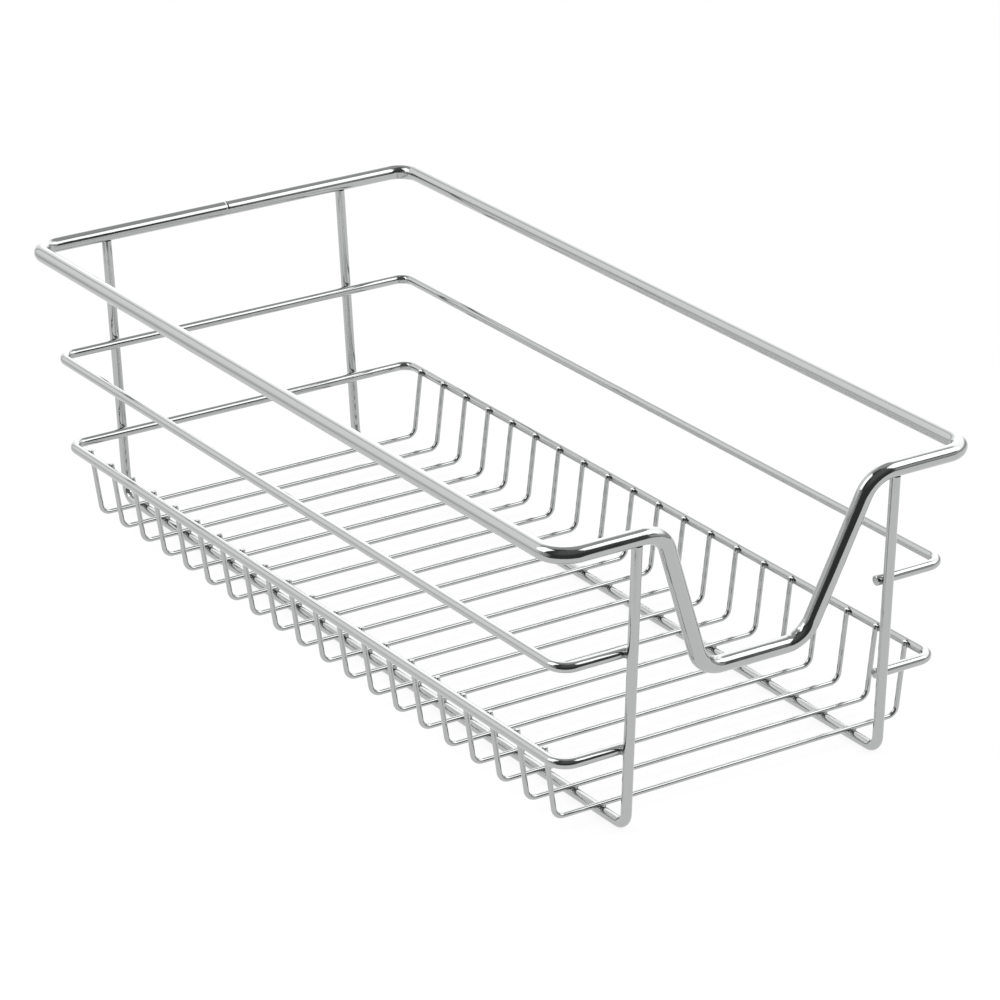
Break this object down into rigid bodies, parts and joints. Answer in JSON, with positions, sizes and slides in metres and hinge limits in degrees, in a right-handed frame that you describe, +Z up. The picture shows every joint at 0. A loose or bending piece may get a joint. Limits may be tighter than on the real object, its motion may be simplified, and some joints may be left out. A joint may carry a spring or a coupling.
{
  "type": "pull out cabinet basket",
  "caption": "Long open wire basket that pulls out of a kitchen base cabinet, with a thick rim dipped into a front handle and a floor of closely spaced cross wires.",
  "frame": {"origin": "on the surface that the basket stands on, under the middle of the rim", "axes": "+Z up, -Y towards the front with the handle, +Y along the basket's depth to the back, +X to the right when facing +Y"},
  "size_m": [0.23, 0.49, 0.149],
  "materials": {
    "chrome_wire": "bright chrome-plated steel wire"
  },
  "bodies": {
    "root": {"top_rim": "chrome_wire", "middle_ring": "chrome_wire", "lower_ring": "chrome_wire", "left_long_frame": "chrome_wire", "right_long_frame": "chrome_wire", "floor_wire_01": "chrome_wire", "floor_wire_02": "chrome_wire", "floor_wire_03": "chrome_wire", "floor_wire_04": "chrome_wire", "floor_wire_05": "chrome_wire", "floor_wire_06": "chrome_wire", "floor_wire_07": "chrome_wire", "floor_wire_08": "chrome_wire", "floor_wire_09": "chrome_wire", "floor_wire_10": "chrome_wire", "floor_wire_11": "chrome_wire", "floor_wire_12": "chrome_wire", "floor_wire_13": "chrome_wire", "floor_wire_14": "chrome_wire", "floor_wire_15": "chrome_wire", "floor_wire_16": "chrome_wire", "floor_wire_17": "chrome_wire", "floor_wire_18": "chrome_wire", "floor_wire_19": "chrome_wire", "floor_wire_20": "chrome_wire"}
  },
  "joints": []
}
